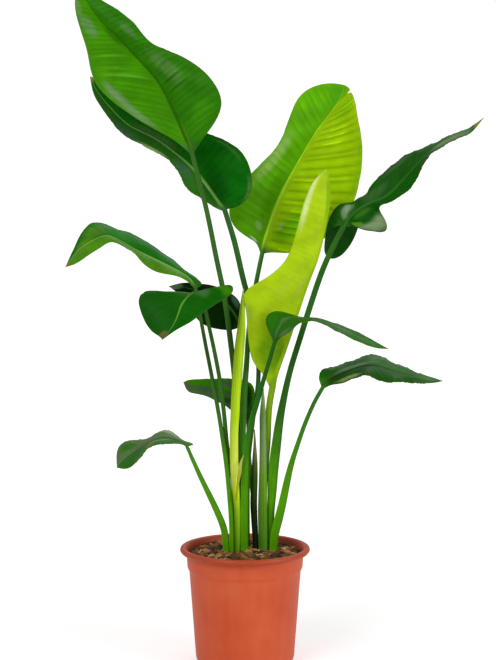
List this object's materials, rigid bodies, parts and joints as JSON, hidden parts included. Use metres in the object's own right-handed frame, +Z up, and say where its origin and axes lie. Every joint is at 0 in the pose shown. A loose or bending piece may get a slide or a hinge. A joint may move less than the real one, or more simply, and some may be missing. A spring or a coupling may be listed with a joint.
{
  "type": "potted bird of paradise plant",
  "caption": "Bird of paradise plant with broad paddle leaves on long stalks, standing in a round tapered plastic nursery pot filled with potting mix.",
  "frame": {"origin": "middle of the pot's underside, on the surface it stands on", "axes": "+Z up along the pot's axis, -Y towards the viewer the leaves are spread out for, +X to that viewer's right"},
  "size_m": [0.6678, 0.213, 1.1014],
  "materials": {
    "pot": "semi-gloss moulded",
    "soil": "loose bark and peat",
    "leaf_mid": "waxy satin",
    "leaf_deep": "waxy satin",
    "leaf_fresh": "waxy satin",
    "leaf_lime": "waxy satin",
    "sheath_green": "satin",
    "sheath_brown": "matt"
  },
  "bodies": {
    "root": {"pot": "pot", "soil": "soil", "leaf_top_left": "leaf_mid", "leaf_top_left_rear": "leaf_deep", "leaf_top_centre": "leaf_fresh", "leaf_unfurling": "leaf_lime", "leaf_top_right": "leaf_deep", "leaf_mid_left_long": "leaf_mid", "leaf_mid_left_front": "leaf_deep", "leaf_mid_left_rear": "leaf_deep", "leaf_mid_right": "leaf_deep", "leaf_low_right": "leaf_mid", "leaf_low_left": "leaf_mid", "leaf_low_rear": "leaf_mid", "leaf_rolled": "leaf_lime", "sheath_old": "sheath_green", "sheath_dry": "sheath_brown"}
  },
  "joints": []
}
